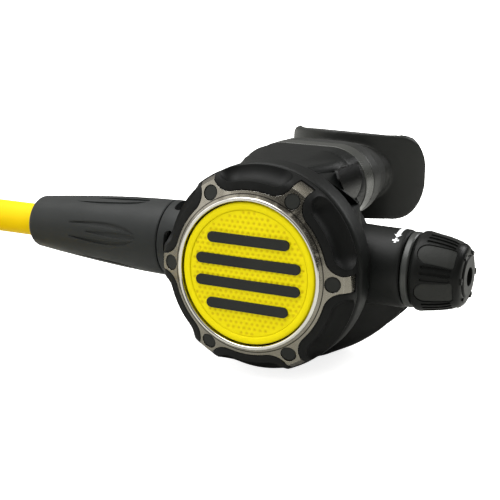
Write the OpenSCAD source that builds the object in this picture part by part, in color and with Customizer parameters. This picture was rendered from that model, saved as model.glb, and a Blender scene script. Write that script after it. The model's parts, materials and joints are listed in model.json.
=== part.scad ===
// Scuba second stage on its yellow low-pressure hose.
// Every module is drawn on the working axes: the cover's axis runs along Y and faces -Y, the
// valve barrel runs along X with the knob at +X, Z is up, and the origin is the centre of the
// circle of bezel plugs. place() then moves a node so that the origin of the part is at the
// middle of its underside.

/* [Purge button] */
// Radius of the yellow purge button
button_r = 24; // [22:0.5:26]
// Width of the raised rim round the button
button_rim_w = 2.35; // [1.5:0.05:3]
// Travel of the button when it is pressed
button_travel = 3; // [2:0.25:3.4]
// Number of grip bars across the button
bar_count = 4; // [2:1:5]
// Width of each grip bar
bar_w = 3.6; // [2.5:0.1:4]
// Distance from one grip bar to the next
bar_pitch = 7.6; // [6:0.1:8]

/* [Bezel] */
// Gap between the button and the bezel
button_gap = 0.8; // [0.6:0.05:1.2]
// Width of the bezel's ring between its arms
bezel_band = 3.4; // [3:0.1:4.5]
// Thickness of the bezel's sheet
bezel_t = 1.2; // [0.9:0.1:1.5]
// Slope of the front face, falling away from the button, in degrees
face_slope = 18; // [14:1:21]
// Number of bezel arms
arm_count = 6; // [4:1:7]
// Half width of an arm at its tip
arm_half_w = 2.75; // [2.4:0.05:3.2]
// Radius of the fillets between the arms and the ring
arm_fillet = 7; // [5:0.25:7.5]
// Radius of the round plug in each arm
plug_r = 2.5; // [2:0.1:2.8]

/* [Front cover] */
// Distance from the plug circle out to the cover's edge
cover_overhang = 5.75; // [5.5:0.05:6.5]
// Depth from the plug circle back to the parting line
cover_depth = 10; // [9.5:0.25:12]
// Radius of the scooped finger hollows in the cover's edge
scoop_r = 5.7; // [5:0.1:6]
// Distance left between a hollow's end and the arm beside it
scoop_gap = 2.2; // [1.5:0.1:4]

/* [Case] */
// Depth of the rounded rim behind the parting line
rim_depth = 11.6; // [10.5:0.1:13]
// Depth of the case behind its rim
case_depth = 22.8; // [22:0.1:25]
// Wall of the case
wall = 2.2; // [1.8:0.1:2.6]
// Distance from the plug circle back to the valve barrel's axis
barrel_y = 33; // [32.6:0.1:34]
// Outer radius of the knob arm
arm_r = 13.5; // [12.8:0.1:14]
// Reach of the knob arm beyond the case rim
arm_reach = 9.2; // [7:0.2:12]

/* [Mouth tube] */
// Height of the mouth tube's centre above the cover's axis
tube_z = 24; // [22.5:0.25:25]
// Half the straight width of the tube's oval
tube_half = 9.6; // [8:0.2:11]
// Radius of the hood's round sides
hood_r = 13.4; // [12.8:0.1:14]
// Radius of the mouth bore's round sides
bore_r = 9.3; // [8.4:0.1:9.5]
// Length of the tube behind the case
tube_len = 14; // [12:0.5:18]

/* [Mouthpiece] */
// Width of the clamp band
clamp_w = 7.6; // [6:0.2:8.4]
// Radius that the lip flange is bent to
flange_r = 31; // [27:0.5:33]
// Angle from the middle of the flange to each end
flange_angle = 68; // [55:1:70]
// Height of the lip flange
flange_h = 33; // [30:0.5:36]
// Thickness of the lip flange
flange_t = 2.2; // [1.8:0.1:3]
// Angle that the soft mouthpiece is turned on its tube
mouthpiece_turn = -4.5; // [-5:0.5:5]
// Length of the bite tabs
tab_len = 18; // [14:0.5:20]

/* [Exhaust] */
// Drop of the exhaust tee's foot below the cover's edge
foot_drop = 2.75; // [2:0.25:4]
// Half width of the foot that the part stands on
foot_half = 12; // [10:0.5:13]
// Half width of the exhaust tee across its wings
tee_half = 41; // [38:0.5:44]
// Radius of the exhaust port
port_r = 9; // [8:0.25:9.5]

/* [Valve] */
// Radius of the valve barrel
valve_r = 9; // [8.6:0.1:9.4]
// Radius of the poppet's bore in the barrel
poppet_bore_r = 6.2; // [6:0.1:6.6]
// Length of the lever's arm from its pivot to its tip
lever_arm = 18; // [16:0.5:19]
// Length of the lever's foot from its pivot to the poppet
lever_foot = 4.4; // [4:0.1:4.8]

/* [Knob] */
// Largest radius of the adjusting knob
knob_r = 13.8; // [13.4:0.1:15]
// Length of the adjusting knob
knob_len = 16.8; // [15:0.2:20]
// Number of soft pads round the knob
pad_count = 6; // [5:1:6]
// Radius of the knob's end cap
cap_r = 7.3; // [6.5:0.1:7.6]
// Pitch of the adjusting screw's thread
screw_pitch = 1; // [0.75:0.05:1.25]

/* [Hose] */
// Outer diameter of the hose
hose_d = 12.7; // [11:0.1:13]
// Length of the rubber hose protector
sleeve_len = 60; // [50:1:70]
// Radius of the hose protector at the case
sleeve_r = 14.3; // [13.8:0.1:15]
// Radius of the hose protector at its far end
sleeve_tip_r = 10.1; // [9.6:0.1:11]
// Turns in the stored coil of hose
coil_turns = 2.25; // [2.1:0.05:2.4]
// Radius of the coil's innermost turn
coil_r = 55.5; // [54:0.5:60]

/* [Hidden] */
$fn = 64;
hull_fn = 32;

// Clearances: between fixed pieces, between pieces that move, round a shaft, and at a visible seam
fit = 0.05;
run_gap = 0.4;
shaft_gap = 0.06;
seam = 0.2;

// Radii of the front, outwards from the button
lip_r = button_r + button_gap;
bezel_r = lip_r + bezel_band;
plug_circle_r = bezel_r + 1.8;
cover_r = plug_circle_r + cover_overhang;
rim_r = cover_r + 0.25;
skirt_r = cover_r - 2.6;
chamber_r = cover_r - 5.75;

// Stations along the cover's axis
rim_front = cover_depth + seam;
rim_back = cover_depth + rim_depth;
case_back = rim_back + case_depth;
cage_y = cover_depth + 1.5;
cage_t = 1.6;
skirt_back = cover_depth + 5.2;
ring_t = 1.2;
seat_y = skirt_back + ring_t + 1.7;
membrane_t = 0.8;
plate_t = 0.8;
plate_y = seat_y - 0.7;
button_front = -1.7;
hood_back = case_back + 1.4;
tube_back = hood_back + tube_len;

// Stations along the valve barrel
arm_end = rim_r + arm_reach;
collar_front = arm_end + 0.4;
collar_w = 2.6;
knob_start = collar_front + collar_w + run_gap;
knob_end = knob_start + knob_len;
arm_left = -(rim_r + 0.3);
inlet_end = arm_left - 10.8;
sleeve_start = inlet_end - run_gap;
sleeve_end = sleeve_start - sleeve_len;
barrel_left = arm_left - 2.4;
thread_left = barrel_left - 12;
barrel_right = arm_end - 0.8;

// Underside and origin
foot_z = -(cover_r + foot_drop);
origin_x = (sleeve_end + knob_end + 0.7) / 2;
tab_angle = 42;
tab_reach = flange_r - tab_len + 2;
tab_x = 3.6 * cos(tab_angle) + tab_reach * sin(tab_angle);
tab_y = 12.2 + flange_r + 3.6 * sin(tab_angle) - tab_reach * cos(tab_angle);
tab_back = tube_back + 3 + tab_x * sin(abs(mouthpiece_turn)) + tab_y * cos(mouthpiece_turn);
origin_y = (face_y(lip_r) - 0.8 + tab_back) / 2;

function face_y(r) = (r - plug_circle_r) * tan(face_slope);
function unit(v) = v / norm(v);
function left_of(v) = [-v[1], v[0]];

// A chain of points moved sideways by d, with mitred corners
function shifted(pts, d) = [
    for (i = [0 : len(pts) - 1])
        let (a = left_of(unit(i == 0 ? pts[1] - pts[0] : pts[i] - pts[i - 1])))
        let (b = left_of(unit(i == len(pts) - 1 ? pts[i] - pts[i - 1] : pts[i + 1] - pts[i])))
        pts[i] + d * (a + b) / (1 + a * b)
];
function reversed(pts) = [for (i = [len(pts) - 1 : -1 : 0]) pts[i]];

// Points on a quadratic curve from a to c that leans towards b
function bend(a, b, c, n = 8) = [
    for (i = [0 : n])
        let (t = i / n)
        a * (1 - t) * (1 - t) + b * 2 * t * (1 - t) + c * t * t
];

module place() translate([-origin_x, -origin_y, -foot_z]) children();
module along_y(y0, h) translate([0, y0 + h, 0]) rotate([90, 0, 0]) linear_extrude(h) children();
module along_x(x0, h) translate([x0, barrel_y, 0]) rotate([90, 0, 90]) linear_extrude(h) children();
module revolve_y() rotate([-90, 0, 0]) rotate_extrude() children();
module revolve_x() translate([0, barrel_y, 0]) rotate([0, 90, 0]) rotate_extrude() children();
module round_arms(count = arm_count) for (i = [0 : count - 1]) rotate([0, i * 360 / count, 0]) children();
module around_barrel(count, first = 0)
    translate([0, barrel_y, 0])
        for (i = [0 : count - 1]) rotate([first + i * 360 / count, 0, 0]) children();

module ring(outer, inner) difference() { circle(outer); circle(inner); }

// The mouth tube's oval, seen along Y
module oval(r) translate([0, tube_z]) {
    square([2 * tube_half, 2 * r], center = true);
    for (s = [-1, 1]) translate([s * tube_half, 0]) circle(r);
}

// A slot with round ends
module obround(l, w) {
    square([l - w, w], center = true);
    for (s = [-1, 1]) translate([s * (l - w) / 2, 0]) circle(w / 2);
}

// A torus round the barrel's axis
module o_ring_x(x, r, t) revolve_x() translate([r, x]) circle(t);

// A solid through rings of as many points each, which run clockwise seen from the last one
module loft(rings) {
    n = len(rings);
    sides = len(rings[0]);
    walls = [
        for (i = [0 : n - 2]) for (k = [0 : sides - 1])
            let (a = i * sides + k)
            let (b = i * sides + (k + 1) % sides)
            each [[a, b, b + sides], [a, b + sides, a + sides]]
    ];
    first = [for (k = [1 : sides - 2]) [0, k + 1, k]];
    last = [for (k = [1 : sides - 2]) [(n - 1) * sides, (n - 1) * sides + k, (n - 1) * sides + k + 1]];
    polyhedron(points = [for (r = rings) each r], faces = concat(walls, first, last));
}

// A tube swept along a path from one of its points to another, with flat ends square to the path
module sweep(path, r, sides = 6, from = 0, to = undef) {
    last = len(path) - 1;
    loft([
        for (i = [from : to == undef ? last : to])
            let (dir = unit(path[min(i + 1, last)] - path[max(i - 1, 0)]))
            let (side = unit(cross(dir, [0, 0, 1])))
            let (up = cross(side, dir))
            [for (k = [0 : sides - 1])
                let (a = 360 * (k + 0.5) / sides)
                path[i] + r * (cos(a) * side + sin(a) * up)]
    ]);
}

// Front ---------------------------------------------------------------------

// Section of the bezel's outer face: the sloped face, then the fold over the cover's edge
function bezel_face(from) = [
    [from, face_y(from)],
    [plug_circle_r + 3.5, face_y(plug_circle_r + 3.5)],
    [plug_circle_r + 4.9, face_y(plug_circle_r + 3.5) + 2.2],
    [plug_circle_r + 5.3, face_y(plug_circle_r + 3.5) + 5.4]
];

// Outline of the star of arms, grown by g
module star(g = 0) {
    fillet = arm_fillet - g;
    half = arm_half_w + g;
    across = half + fillet;
    along = sqrt((bezel_r + g + fillet) * (bezel_r + g + fillet) - across * across);
    circle(bezel_r + g);
    for (i = [0 : arm_count - 1]) rotate(i * 360 / arm_count) {
        translate([bezel_r / 2, -half]) square([cover_r + 1 - bezel_r / 2, 2 * half]);
        difference() {
            polygon([[0, 0], [along, across], [along, -across]]);
            for (s = [-1, 1]) translate([along, s * across]) circle(fillet);
        }
    }
}

// The bezel's sheet from its outer face, raised by up, down to the depth t, with its outline grown by g
module bezel_shape(t, g = 0, up = 0) intersection() {
    revolve_y() polygon(concat(
        shifted(bezel_face(lip_r + 0.4), -up),
        reversed(shifted(bezel_face(lip_r + 0.4), t))
    ));
    along_y(-10, 30) star(g);
}

module plug_places() round_arms()
    translate([plug_circle_r, 0, 0]) rotate([90, 0, 0]) rotate([0, face_slope, 0]) children();

module cover_bezel() color("silver") difference() {
    union() {
        bezel_shape(bezel_t);
        revolve_y() translate([lip_r + 0.7, face_y(lip_r) - 0.1]) circle(0.7);
    }
    plug_places() cylinder(r = plug_r + 0.25, h = 8, center = true);
}

module bezel_plugs() color("dimgray") plug_places() {
    translate([0, 0, -3.4]) cylinder(r = plug_r - 0.6, h = 3);
    translate([0, 0, -0.9]) cylinder(r = plug_r, h = 0.75);
}

// Outer face of the soft cover between the arms
function cover_face() = concat(
    [[button_r + 0.5, face_y(button_r + 0.5) + 0.2], [plug_circle_r + 1, 0.25]],
    bend([plug_circle_r + 2.6, 0.75], [cover_r - 0.1, 2.2], [cover_r, cover_depth - 2.4]),
    [[cover_r - 0.25, cover_depth - 0.7], [cover_r - 0.7, cover_depth]]
);

module front_cover() color("#222426") difference() {
    revolve_y() polygon(concat(cover_face(), [
        [skirt_r, cover_depth],
        [skirt_r, skirt_back],
        [skirt_r - 1.8, skirt_back],
        [skirt_r - 1.8, cover_depth - 1.2],
        [button_r + 4, 4.2],
        [button_r + 3, 3.2],
        [button_r + 0.5, 3.2]
    ]));
    bezel_shape(bezel_t + fit, 0.3, 3);
    along_y(-10, 10 + face_y(lip_r) + 1.6) circle(lip_r + 1.5);
    plug_places() translate([0, 0, -5]) cylinder(r = plug_r - 0.6 + fit, h = 10);
    round_arms() rotate([0, 180 / arm_count, 0]) scoop();
}

// A finger hollow: a bent channel with round ends
module scoop() {
    along = cover_r + 0.4;
    depth = 3;
    half = 180 / arm_count - asin((arm_half_w + scoop_gap + scoop_r) / along);
    rotate([-90, 0, 0]) rotate([0, 0, -half]) rotate_extrude(angle = 2 * half)
        translate([along, depth]) circle(scoop_r);
    for (s = [-1, 1]) rotate([0, s * half, 0]) translate([along, depth, 0]) sphere(scoop_r);
}

module purge_button() color("#f2e500") {
    revolve_y() polygon(concat(
        [[0, button_front + 0.35], [button_r - button_rim_w, button_front + 0.75]],
        [[button_r - button_rim_w + 0.25, button_front + 0.1]],
        bend([button_r - 0.9, button_front], [button_r, button_front], [button_r, button_front + 1], 4),
        [[button_r, 3.6], [button_r + 2, 3.6], [button_r + 2, 4.6], [button_r - 1.6, 4.6]],
        [[button_r - 1.6, 1.2], [5, 1.2], [5, plate_y - membrane_t - run_gap], [0, plate_y - membrane_t - run_gap]]
    ));
}

// Straight bars with round ends, as long as the round field lets them be
module button_bars() color("#3c3d3f") {
    reach = button_r - button_rim_w - 1.6;
    for (i = [0 : bar_count - 1]) {
        h = (i - (bar_count - 1) / 2) * bar_pitch;
        half = sqrt(reach * reach - (abs(h) + bar_w / 2) * (abs(h) + bar_w / 2));
        difference() {
            along_y(button_front - 0.35, 1.2) translate([0, h]) obround(2 * half, bar_w);
            revolve_y() polygon([
                [0, button_front + 0.35 - fit],
                [button_r - button_rim_w, button_front + 0.75 - fit],
                [button_r, 3],
                [0, 3]
            ]);
        }
    }
}

// A perforated wall behind the button, which carries its spring
module spring_cage() color("#303234") difference() {
    along_y(cage_y, cage_t) circle(skirt_r - 1.8 - fit);
    along_y(cage_y - 1, cage_t + 2) {
        circle(5 + run_gap);
        for (i = [0 : 7]) rotate(i * 45) translate([19, 0]) circle(5);
    }
}

module purge_spring() color("lightgray") {
    from = 1.3;
    to = cage_y - 0.1;
    turns = 3.5;
    rotate([-90, 0, 0]) sweep(helix(7.6, from + 0.5, to - 0.5, turns), 0.45, 6);
}

function helix(r, from, to, turns) = [
    for (i = [0 : 8 * turns])
        let (a = i * 45)
        [r * cos(a), r * sin(a), from + (to - from) * i / (8 * turns)]
];

module slip_ring() color("white") along_y(skirt_back + fit, ring_t - fit) ring(skirt_r, chamber_r);

// Silicone membrane with a round bead at its edge and one soft fold
module diaphragm() color("#8a8f94") revolve_y() {
    flat = [[0, plate_y], [chamber_r - 7, plate_y]];
    fold = bend([chamber_r - 6, plate_y], [chamber_r - 4, plate_y + 3.4], [chamber_r - 1.4, plate_y], 6);
    mid = concat(flat, fold, [[chamber_r + 0.4, plate_y]]);
    polygon(concat(shifted(mid, -membrane_t), reversed(mid)));
    translate([chamber_r + 0.3, skirt_back + ring_t + fit]) square([skirt_r - chamber_r - 0.4, 1.6]);
}

module diaphragm_plate() color("silver") along_y(plate_y + fit, plate_t) circle(lever_arm - 3.5);

// Case ----------------------------------------------------------------------

case_face = concat(
    [[0, case_back], [cover_r - 13, case_back]],
    bend([cover_r - 12.5, case_back], [cover_r - 5.2, case_back - 2.4], [cover_r - 4.6, case_back - 13], 6),
    [[cover_r - 3.9, rim_back + 2.6]],
    bend([cover_r - 3.4, rim_back + 0.8], [rim_r - 0.2, rim_back], [rim_r, rim_back - 3.4], 6),
    bend([rim_r, rim_front + 2], [rim_r, rim_front], [rim_r - 1.4, rim_front], 4)
);

// The rounded case, its shoulder up to the mouth tube, the tube and both barrel arms
module case_solid() {
    revolve_y() polygon(concat(case_face, [[0, rim_front]]));
    hull() {
        along_y(rim_back - 1, 0.5) circle(cover_r - 2.2, $fn = 2 * hull_fn);
        along_y(case_back - 7, 0.5) oval(hood_r, $fn = hull_fn);
    }
    along_y(case_back - 7, hood_back - case_back + 7) oval(hood_r);
    hood_shoulder();
    along_y(hood_back - 1, tube_len + 1) oval(bore_r + 1.8);
    revolve_x() polygon(concat(
        [[0, arm_left], [arm_r, arm_left], [arm_r + 0.3, -20], [arm_r + 0.3, 20]],
        bend([arm_r + 0.3, rim_r - 8], [arm_r, rim_r - 2], [arm_r, arm_end - 1.2], 5),
        [[arm_r - 0.3, arm_end - 0.4], [arm_r - 0.9, arm_end], [0, arm_end]]
    ));
}

// The flat-topped saddle from the rim to the end of the hood: station, half width and top
module hood_shoulder() {
    corner = 3.5;
    top = tube_z + hood_r - 2.6;
    hull() for (v = [[rim_back - 0.6, 12.4, top - 0.8], [rim_back + 7, 17.6, top - 0.2], [hood_back - 1, 20.4, top + 0.4]])
        for (s = [-1, 1]) {
            translate([s * (v[1] - corner), v[0], v[2] - corner]) rotate([-90, 0, 0])
                cylinder(r = corner, h = 0.4, $fn = hull_fn);
            translate([s * (v[1] - corner), v[0], tube_z - 4]) cube(0.4);
        }
}

module case_hollow() {
    along_y(rim_front - 1, seat_y - rim_front + 1) circle(skirt_r + 0.1);
    revolve_y() polygon(concat(
        [[0, seat_y - 1], [chamber_r, seat_y - 1], [chamber_r, rim_back + 3]],
        bend([chamber_r, case_back - 12], [chamber_r - 1, case_back - wall - 2], [cover_r - 14, case_back - wall], 6),
        [[0, case_back - wall]]
    ));
    hull() {
        along_y(rim_back - 1.4, 0.5) circle(chamber_r - 0.6, $fn = 2 * hull_fn);
        along_y(case_back - 8, 0.5) oval(bore_r + 0.5, $fn = hull_fn);
    }
    along_y(case_back - 9, tube_back - case_back + 10) oval(bore_r);
    along_x(arm_left - 1, arm_end - arm_left + 2) circle(valve_r + fit);
}

// Port for the exhaust valve, with a hub carried by three spokes
port_z = -15;
tee_top = port_z + port_r + 2.6;
module port_cut() difference() {
    translate([0, port_z]) circle(port_r);
    translate([0, port_z]) circle(3);
    translate([0, port_z]) for (a = [90, 210, 330]) rotate(a) translate([0, -0.8]) square([port_r + 1, 1.6]);
}

module housing() color("#26282a") difference() {
    union() {
        difference() {
            case_solid();
            case_hollow();
        }
        along_y(case_back - 1, 1.8) translate([0, port_z]) ring(port_r + 1.6, port_r - 0.2);
    }
    along_y(case_back - wall - 1, wall + 3) port_cut();
    along_y(case_back - wall - 1, wall + 3) translate([0, port_z]) circle(1.3);
    along_y(case_back + 0.8, 5) translate([0, port_z]) circle(port_r + 2);
    side_recess();
    side_panel(1.2, 0.25);
}

// Outline of the bare panel on the tube's side, seen along X
module panel_outline(g = 0) {
    front = rim_back + 3.4;
    back = hood_back - 1.8;
    offset(r = 1.4 + g) polygon([
        [front + 2.4, tube_z + 7],
        [back - 1.4, tube_z + 7.2],
        [back - 1.6, tube_z + 4.4],
        [back - 4.2, tube_z + 1.2],
        [back - 8, tube_z - 1.4],
        [back - 11.6, tube_z - 1.4],
        [front + 3, tube_z + 1.8],
        [front + 1.4, tube_z + 5.4]
    ]);
}

// Space that the panel takes in the hood's right side, d deep
module side_panel(d, g = 0) difference() {
    translate([tube_half + hood_r - 8, 0, 0]) rotate([90, 0, 90]) linear_extrude(12) panel_outline(g);
    along_y(0, tube_back) oval(hood_r - d);
}

// Dark slot between the rim and the panel
module side_recess() translate([tube_half + hood_r - 5, 0, 0]) rotate([90, 0, 90]) linear_extrude(12)
    polygon([
        [rim_back + 0.2, tube_z + 6.8],
        [rim_back + 1, tube_z + 6],
        [rim_back + 2.3, tube_z + 3.6],
        [rim_back + 4.4, tube_z + 1],
        [rim_back + 8.6, tube_z - 3],
        [rim_back + 0.2, tube_z - 3]
    ]);

module side_plate() color("#1d1e20") intersection() {
    side_panel(1.1);
    along_y(0, tube_back) oval(hood_r - 0.35);
}

module exhaust_valve() color("#6f7478") {
    along_y(case_back + 0.85, 0.9) translate([0, port_z]) circle(port_r + 1.5);
    along_y(case_back - wall - 1.6, wall + 2.6) translate([0, port_z]) circle(1.2);
    along_y(case_back - wall - 1.6, 1.4) translate([0, port_z]) circle(2);
}

// Sections of the tee from its foot out to the end of a wing: x, middle y and z, half depth and
// half height
tee_front = rim_back + 2.2;
tee_back = case_back + 12.5;
tee_sections = [
    [foot_half * 0.4, (tee_front + tee_back) / 2, (foot_z + tee_top + 2) / 2, (tee_back - tee_front) / 2,
     (tee_top + 2 - foot_z) / 2],
    [foot_half, (tee_front + 12 + tee_back) / 2, (foot_z + tee_top + 2) / 2, (tee_back - tee_front - 12) / 2,
     (tee_top + 2 - foot_z) / 2],
    [tee_half * 0.55, case_back + 3.5, foot_z + 17, 9.6, 12],
    [tee_half + 1, case_back + 7.5, foot_z + 24.4, 7.2, 8]
];
tee_wall = 1.5;
tee_corner_r = 4;

// One section as a ring of points with rounded corners, shrunk by d, on the side s
function tee_ring(v, s, d) = [
    for (c = [3 : -1 : 0]) for (k = [4 : -1 : 0])
        let (t = 90 * c + 22.5 * k)
        let (e = v[3] - tee_corner_r) let (f = v[4] - tee_corner_r) let (r = tee_corner_r - d)
        [s * v[0], v[1] + (c == 0 || c == 3 ? e : -e) + r * cos(t), v[2] + (c < 2 ? f : -f) + r * sin(t)]
];

module tee_body(d) loft(concat(
    [for (i = [len(tee_sections) - 1 : -1 : 0]) tee_ring(tee_sections[i], -1, d)],
    [for (v = tee_sections) tee_ring(v, 1, d)]
));

module exhaust_tee() color("#1b1c1e") difference() {
    tee_body(0);
    tee_body(tee_wall);
    for (s = [0, 1]) mirror([s, 0, 0]) tee_mouth();
    tee_clear();
}

// Everything below and outside the curve from the foot to the wing's end
module tee_mouth() along_y(0, 100)
    polygon(concat(
        [[foot_half, foot_z - 1]],
        bend([foot_half, foot_z], [tee_half - 10.5, foot_z + 7.1], [tee_half, foot_z + 22.5]),
        [[tee_half - 0.8, foot_z + 60], [tee_half + 20, foot_z + 60], [tee_half + 20, foot_z - 1]]
    ));

// Room for the case and the arms, and the way in from the exhaust port
module tee_clear() {
    revolve_y() polygon(concat(shifted(case_face, 0.05), [[0, rim_front]]));
    along_x(0, 60) circle(arm_r + 0.35);
    along_x(-60, 61) circle(sleeve_r + 0.7);
    along_y(case_back, 9) translate([0, port_z]) circle(port_r + 2.2);
    translate([-60, 0, tee_top]) cube([120, 100, 60]);
}

// Mouthpiece ----------------------------------------------------------------

module mouthpiece_clamp() color("#a6a8a8") along_y(hood_back + 0.5, clamp_w) difference() {
    oval(bore_r + 4.3);
    oval(bore_r + 3.55);
}

flange_front = tube_back + 12.2;

module turned() translate([0, tube_back, 0]) rotate([0, 0, mouthpiece_turn]) translate([0, -tube_back, 0])
    children();

// The bent lip flange: a sector of a tube wall cut to a rounded outline
module flange_plate(t) intersection() {
    translate([0, flange_front + flange_r, tube_z - flange_h / 2 - 1]) rotate([0, 0, -90 - flange_angle])
        rotate_extrude(angle = 2 * flange_angle) translate([flange_r - t, 0]) square([t, flange_h + 2]);
    along_y(flange_front - 1, flange_r) flange_outline();
}

module flange_outline() {
    half = flange_r * sin(flange_angle) + 1;
    top_corner = 13;
    low_corner = 13;
    hull() for (s = [-1, 1]) {
        translate([s * (half - top_corner), tube_z - 1 + flange_h / 2 - top_corner]) circle(top_corner);
        translate([s * (half - low_corner), tube_z - 1 - flange_h / 2 + low_corner]) circle(low_corner);
    }
}

module bite_tab() {
    translate([0, flange_front + flange_r, tube_z - 1.5]) rotate([0, 0, tab_angle]) translate([0, -flange_r + 1, 0]) {
        translate([0, 0, -1.6]) linear_extrude(3.2) hull() {
            translate([-6, 0]) square([12, 1]);
            for (s = [-1, 1]) translate([s * 3.6, tab_len - 3]) circle(3);
        }
        translate([0, tab_len - 3.4, -3.4]) linear_extrude(6.8) obround(12, 4);
    }
}

module mouthpiece() color("#232527") difference() {
    union() {
        along_y(hood_back + 0.4, tube_back - hood_back + 1) oval(bore_r + 3.5);
        along_y(hood_back + clamp_w + 0.8, tube_back - hood_back - clamp_w + 0.4) oval(bore_r + 4.3);
        hull() {
            along_y(tube_back, 0.5) oval(bore_r + 4.3, $fn = hull_fn);
            turned() along_y(flange_front + 1.5, 0.5) oval(bore_r + 1.2, $fn = hull_fn);
        }
        turned() {
            flange_plate(flange_t);
            for (s = [0, 1]) mirror([s, 0, 0]) bite_tab();
        }
    }
    along_y(hood_back, tube_len + 0.4) oval(bore_r + 1.85);
    turned() along_y(tube_back - 2, 30) oval(bore_r - 1);
}

// Demand valve --------------------------------------------------------------

poppet_x = -4;
seat_x = poppet_x - 1.6;
crown_x = seat_x - 0.05;
pivot_x = poppet_x + 10;
pivot_y = -5;
washer_x = poppet_x + 11.8;
pad_x = washer_x + 16;
pad_len = 6;
stem_flange_x = pad_x + 11;
stem_r = 4.5;

module valve_barrel() color("#c9a24a") difference() {
    revolve_x() polygon([
        [poppet_bore_r, seat_x - 14],
        [3.6, seat_x - 14],
        [3.6, thread_left],
        [6.6, thread_left],
        [7.1, thread_left + 0.6],
        [7.1, barrel_left],
        [valve_r, barrel_left],
        [valve_r, barrel_right],
        [8.05, barrel_right],
        [8.05, stem_flange_x - 0.6],
        [poppet_bore_r, stem_flange_x - 0.6]
    ]);
    translate([pivot_x - 11, barrel_y - 12, -5]) cube([16, 9, 10]);
    translate([pivot_x, barrel_y + pivot_y, 0]) cylinder(r = 0.85, h = 30, center = true);
}

module barrel_nut() color("#9a9ea2") along_x(barrel_left + 0.1, 2) difference() {
    circle(collar_bore_r - 0.3, $fn = 6);
    circle(valve_r + fit);
}

module orifice() color("#d6b25c") difference() {
    revolve_x() polygon([
        [2.4, crown_x - 12],
        [poppet_bore_r - fit, crown_x - 12],
        [poppet_bore_r - fit, crown_x - 9],
        [poppet_bore_r - 1.2, crown_x - 9],
        [poppet_bore_r - 1.2, crown_x - 7],
        [poppet_bore_r - fit, crown_x - 7],
        [poppet_bore_r - fit, crown_x - 4],
        [3.2, crown_x],
        [2.4, crown_x]
    ]);
    along_x(crown_x - 13, 3) square([8, 1.2], center = true);
}

module orifice_o_ring() color("black") o_ring_x(crown_x - 8, poppet_bore_r - 0.65, 0.55);

module poppet() color("#e8e8e4") difference() {
    revolve_x() polygon([
        [0, poppet_x],
        [4.2, poppet_x],
        [4.2, poppet_x + 1],
        [poppet_bore_r - 0.15, poppet_x + 1],
        [poppet_bore_r - 0.15, poppet_x + 5],
        [2.2, poppet_x + 6.5],
        [2.2, washer_x],
        [5.2, washer_x],
        [5.2, washer_x + 1],
        [2.2, washer_x + 1],
        [2.2, washer_x + 7],
        [0, washer_x + 7]
    ]);
    around_barrel(4, 45) translate([poppet_x, poppet_bore_r - 1.2, -1.4]) cube([6, 3, 2.8]);
}

module poppet_seat() color("#5a5e62") along_x(seat_x, poppet_x - seat_x) circle(3.9);

module poppet_spring() color("lightgray") {
    path = helix(4.1, washer_x + 1.6, pad_x - 0.7, 6);
    translate([0, barrel_y, 0]) sweep([for (p = path) [p[2], p[0], p[1]]], 0.45, 6);
}

module spring_pad() color("#b9bcbe") along_x(pad_x, pad_len) difference() {
    circle(poppet_bore_r - shaft_gap);
    circle(3.1, $fn = 6);
}

// A bent fork: two feet at the poppet, a bridge over the barrel and an arm to the plate
module demand_lever() color("#c8ccd0") {
    t = 1;
    tip = [pivot_x - lever_arm, plate_y + plate_t + run_gap + 0.5];
    foot = [pivot_x, barrel_y + pivot_y + lever_foot];
    knee = [pivot_x - 1, barrel_y + pivot_y - 5.6];
    for (s = [-1, 1]) translate([0, 0, s * 4.1 - 0.7]) linear_extrude(1.4) difference() {
        union() {
            strip([foot, [pivot_x, barrel_y + pivot_y], knee], t);
            translate([pivot_x, barrel_y + pivot_y]) circle(1.6);
        }
        translate([pivot_x, barrel_y + pivot_y]) circle(0.8 + shaft_gap);
    }
    translate([0, 0, -4.8]) linear_extrude(9.6) strip([knee, knee + [-4, -0.5]], t);
    translate([0, 0, -2.2]) linear_extrude(4.4) strip([knee + [-3.6, -0.45], tip], t);
    translate([tip[0], tip[1], -3.4]) cylinder(r = 0.8, h = 6.8);
}

// A bent strip of thickness t through points
module strip(pts, t) polygon(concat(shifted(pts, t / 2), reversed(shifted(pts, -t / 2))));

module lever_pin() color("silver") translate([pivot_x, barrel_y + pivot_y, -7]) cylinder(r = 0.8, h = 14);

module adjust_stem() color("#b4b8bc") {
    along_x(pad_x + 1, stem_flange_x - pad_x - 1) circle(2.8, $fn = 6);
    along_x(stem_flange_x, 2) circle(7.5);
    along_x(stem_flange_x + 1.9, 2.1) circle(stem_r);
    along_x(stem_flange_x + 3.9, 2.2) circle(stem_r - 1.2);
    along_x(stem_flange_x + 6, knob_end - 3 - stem_flange_x - 6) circle(stem_r);
}

module stem_o_ring() color("black") o_ring_x(stem_flange_x + 5, stem_r - 0.57, 0.6);

// Knob ----------------------------------------------------------------------

module arm_collar() color("#3a3c3e") difference() {
    union() {
        revolve_x() polygon([
            [0, collar_front],
            [arm_r - 0.8, collar_front],
            [arm_r - 0.45, collar_front + 0.4],
            [arm_r - 0.45, collar_front + collar_w - 0.5],
            [arm_r - 1, collar_front + collar_w],
            [0, collar_front + collar_w]
        ]);
        along_x(stem_flange_x + 2.4, collar_front - stem_flange_x - 1.4) circle(8);
    }
    along_x(stem_flange_x - 1, 40) circle(stem_r + shaft_gap);
}

// Section of the knob's outer face, from the skirt to the cap
function knob_face(d = 0) = concat(
    [[knob_r - 1.2 - d, knob_start], [knob_r - 0.2 - d, knob_start + 1]],
    bend([knob_r - d, knob_start + 2.2], [knob_r - 0.4 - d, knob_start + 8], [knob_r - 1.9 - d, knob_end - 4], 5),
    bend([knob_r - 2.3 - d, knob_end - 3.2], [knob_r - 3.2 - d, knob_end - 0.3], [knob_r - 5.6 - d, knob_end], 6)
);

module knob_solid(d = 0) revolve_x() polygon(concat(knob_face(d), [[0, knob_end], [0, knob_start]]));

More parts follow.
